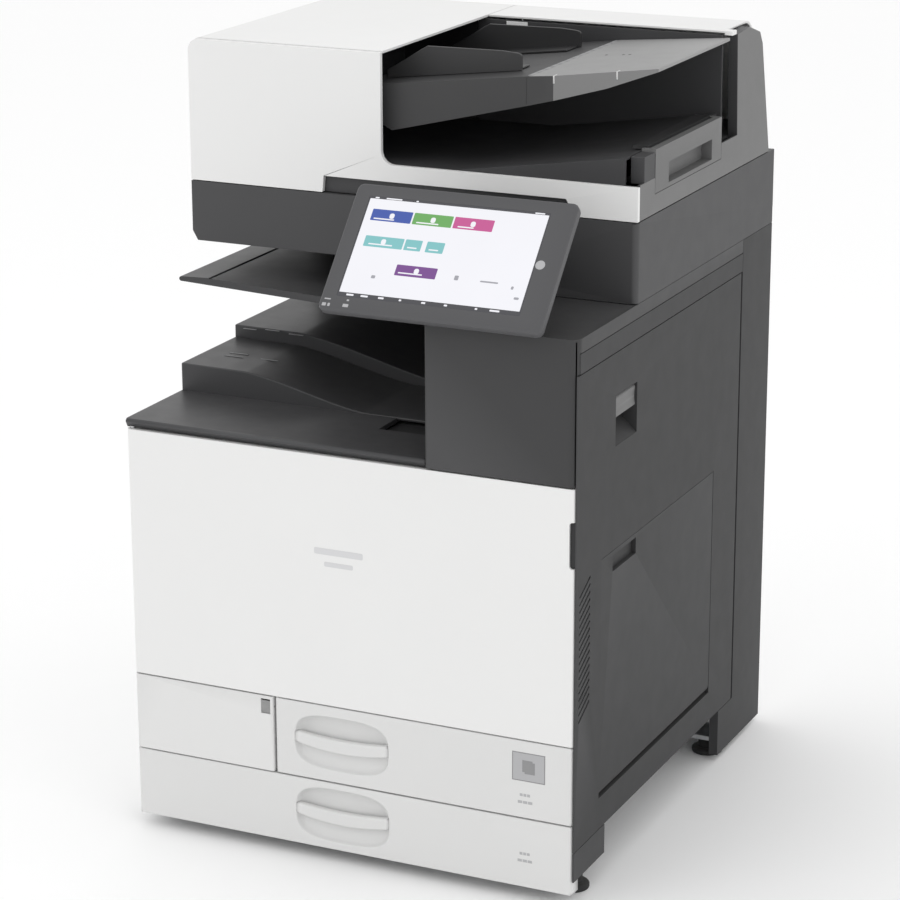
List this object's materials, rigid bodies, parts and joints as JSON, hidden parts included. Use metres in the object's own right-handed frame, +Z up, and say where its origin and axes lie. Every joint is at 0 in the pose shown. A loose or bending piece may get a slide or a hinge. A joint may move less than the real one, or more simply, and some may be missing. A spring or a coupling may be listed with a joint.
{
  "type": "photocopier",
  "caption": "Free-standing A3 multifunction copier with a document feeder, tilting touch panel, paper drawers, bypass tray and an internal output cavity.",
  "frame": {"origin": "middle of the outer box, on the floor", "axes": "+X to the machine's right seen from the front, +Y to its rear, +Z up"},
  "size_m": [0.587, 0.685, 0.963],
  "materials": {
    "white_plastic": "fine-textured white ABS, satin",
    "white_sheet": "smooth white foam-backed sheet",
    "dark_plastic": "fine-textured dark grey ABS",
    "black_plastic": "near-black moulded plastic",
    "mid_grey_plastic": "mid grey textured plastic",
    "light_grey_plastic": "light grey textured plastic",
    "sheet_steel": "zinc-plated sheet steel",
    "pin_steel": "turned steel",
    "roller_rubber": "matt black rubber on a steel shaft",
    "foot_rubber": "moulded rubber foot",
    "platen_glass": "clear float glass",
    "display": "lit touch display under a clear cover",
    "circuit": "power supply board and its case"
  },
  "bodies": {
    "machine": {"base_frame": "sheet_steel", "levelling_feet": "foot_rubber", "left_cover": "white_plastic", "rear_cover": "white_plastic", "interface_panel": "light_grey_plastic", "power_inlet": "black_plastic", "left_lower_panel": "white_plastic", "right_lower_cover": "dark_plastic", "right_rear_cover": "dark_plastic", "right_upper_cover": "dark_plastic", "output_deck": "dark_plastic", "exit_block_cover": "dark_plastic", "inner_rear_cover": "dark_plastic", "internal_tray": "dark_plastic", "inner_front_panel": "light_grey_plastic", "toner_bottles": "mid_grey_plastic", "transfer_unit": "black_plastic", "fuser_unit": "mid_grey_plastic", "laser_unit": "mid_grey_plastic", "waste_bottle": "white_plastic", "power_supply": "circuit", "scanner_housing": "dark_plastic", "platen_glass": "platen_glass", "cover_screws": "pin_steel", "hinge_pins": "pin_steel", "adf_hinges": "sheet_steel", "panel_arm": "dark_plastic"},
    "power_switch": {"power_switch": "light_grey_plastic"},
    "front_cover": {"front_cover": "white_plastic"},
    "exit_roller": {"exit_roller": "roller_rubber"},
    "tray1": {"tray1_front": "white_plastic", "tray1_tub": "mid_grey_plastic"},
    "tray1_lift_plate": {"tray1_lift_plate": "sheet_steel"},
    "tray2": {"tray2_front": "white_plastic", "tray2_tub": "mid_grey_plastic"},
    "tray2_lift_plate": {"tray2_lift_plate": "sheet_steel"},
    "tray1_feed_roller": {"tray1_feed_roller": "roller_rubber"},
    "tray2_feed_roller": {"tray2_feed_roller": "roller_rubber"},
    "right_door": {"right_door": "dark_plastic"},
    "door_latch": {"door_latch": "mid_grey_plastic"},
    "bypass_tray": {"bypass_tray": "dark_plastic", "bypass_extension": "mid_grey_plastic"},
    "bypass_guide_front": {"bypass_guide_front": "mid_grey_plastic"},
    "bypass_guide_rear": {"bypass_guide_rear": "mid_grey_plastic"},
    "scanner_carriage": {"scanner_carriage": "black_plastic"},
    "feeder": {"adf_base": "dark_plastic", "adf_front_cover": "white_plastic", "adf_rear_cover": "white_plastic", "platen_sheet": "white_sheet", "adf_feeder_frame": "black_plastic"},
    "feeder_cover": {"adf_feeder_cover": "white_plastic"},
    "original_table": {"original_table": "light_grey_plastic"},
    "original_guide_front": {"original_guide_front": "dark_plastic"},
    "original_guide_rear": {"original_guide_rear": "dark_plastic"},
    "pickup_roller": {"adf_pickup_roller": "roller_rubber"},
    "exit_extender": {"exit_extender": "mid_grey_plastic"},
    "exit_stopper": {"exit_stopper": "black_plastic"},
    "panel": {"panel_housing": "dark_plastic", "panel_screen": "display"},
    "panel_key": {"panel_key": "light_grey_plastic"}
  },
  "joints": [
    {"name": "power_switch_rock", "type": "hinge", "parent": "machine", "child": "power_switch", "pos_m": [-0.111, -0.3009, 0.189], "axis": [-1, 0, 0], "range_deg": [0, 10]},
    {"name": "front_cover_open", "type": "hinge", "parent": "machine", "child": "front_cover", "pos_m": [-0.2875, -0.2995, 0.36], "axis": [0, 0, -1], "range_deg": [0, 110]},
    {"name": "tray1_slide", "type": "slide", "parent": "machine", "child": "tray1", "axis": [0, -1, 0], "range_m": [0, 0.38]},
    {"name": "tray2_slide", "type": "slide", "parent": "machine", "child": "tray2", "axis": [0, -1, 0], "range_m": [0, 0.38]},
    {"name": "tray1_lift", "type": "hinge", "parent": "tray1", "child": "tray1_lift_plate", "pos_m": [-0.075, -0.095, 0.1145], "axis": [0, -1, 0], "range_deg": [0, 9]},
    {"name": "tray2_lift", "type": "hinge", "parent": "tray2", "child": "tray2_lift_plate", "pos_m": [-0.2595, -0.095, 0.0385], "axis": [0, -1, 0], "range_deg": [0, 6]},
    {"name": "tray1_feed_spin", "type": "hinge", "parent": "machine", "child": "tray1_feed_roller", "pos_m": [0.205, 0, 0.182], "axis": [0, 1, 0], "continuous": true},
    {"name": "tray2_feed_spin", "type": "hinge", "parent": "machine", "child": "tray2_feed_roller", "pos_m": [0.173, 0, 0.084], "axis": [0, 1, 0], "continuous": true},
    {"name": "exit_roller_spin", "type": "hinge", "parent": "machine", "child": "exit_roller", "pos_m": [0.118, 0, 0.597], "axis": [0, 1, 0], "continuous": true},
    {"name": "right_door_open", "type": "hinge", "parent": "machine", "child": "right_door", "pos_m": [0.2885, 0.228, 0.36], "axis": [0, 0, 1], "range_deg": [0, 85]},
    {"name": "door_latch_pull", "type": "hinge", "parent": "right_door", "child": "door_latch", "pos_m": [0.2855, -0.158, 0.591], "axis": [0, -1, 0], "range_deg": [0, 20], "stiffness_Nm_per_rad": 0.5},
    {"name": "bypass_open", "type": "hinge", "parent": "right_door", "child": "bypass_tray", "pos_m": [0.2835, -0.0435, 0.1222], "axis": [0, 1, 0], "range_deg": [0, 80]},
    {"name": "bypass_guide_front_slide", "type": "slide", "parent": "bypass_tray", "child": "bypass_guide_front", "axis": [0, 1, 0], "range_m": [0, 0.09]},
    {"name": "bypass_guide_rear_slide", "type": "slide", "parent": "bypass_tray", "child": "bypass_guide_rear", "axis": [0, 1, 0], "range_m": [-0.09, 0]},
    {"name": "scan_slide", "type": "slide", "parent": "machine", "child": "scanner_carriage", "axis": [1, 0, 0], "range_m": [0, 0.4]},
    {"name": "feeder_lift", "type": "hinge", "parent": "machine", "child": "feeder", "pos_m": [-0.015, 0.33, 0.7946], "axis": [-1, 0, 0], "range_deg": [0, 65]},
    {"name": "feeder_cover_open", "type": "hinge", "parent": "feeder", "child": "feeder_cover", "pos_m": [-0.2835, 0.09, 0.862], "axis": [0, -1, 0], "range_deg": [0, 75]},
    {"name": "pickup_spin", "type": "hinge", "parent": "feeder", "child": "pickup_roller", "pos_m": [-0.105, 0.03, 0.946], "axis": [0, 1, 0], "continuous": true},
    {"name": "original_table_lift", "type": "hinge", "parent": "feeder", "child": "original_table", "pos_m": [-0.06, 0.032, 0.902], "axis": [0, -1, 0], "range_deg": [0, 12]},
    {"name": "original_guide_front_slide", "type": "slide", "parent": "original_table", "child": "original_guide_front", "axis": [0, 1, 0], "range_m": [-0.02, 0.05]},
    {"name": "original_guide_rear_slide", "type": "slide", "parent": "original_table", "child": "original_guide_rear", "axis": [0, 1, 0], "range_m": [-0.05, 0.02]},
    {"name": "exit_extender_slide", "type": "slide", "parent": "feeder", "child": "exit_extender", "axis": [1, 0, 0], "range_m": [0, 0.08]},
    {"name": "exit_stopper_flip", "type": "hinge", "parent": "exit_extender", "child": "exit_stopper", "pos_m": [0.2794, 0.032, 0.8608], "axis": [0, 1, 0], "range_deg": [0, 90]},
    {"name": "panel_tilt", "type": "hinge", "parent": "machine", "child": "panel", "pos_m": [0.125, -0.22234, 0.74205], "axis": [1, 0, 0], "range_deg": [-30, 5]},
    {"name": "panel_key_press", "type": "slide", "parent": "panel", "child": "panel_key", "axis": [0, 0.7431, -0.6691], "range_m": [0, 0.001], "stiffness_N_per_m": 800}
  ],
  "couplings": [
    {"joint": "bypass_guide_rear_slide", "follows": "bypass_guide_front_slide", "ratio": -1},
    {"joint": "original_guide_rear_slide", "follows": "original_guide_front_slide", "ratio": -1}
  ]
}
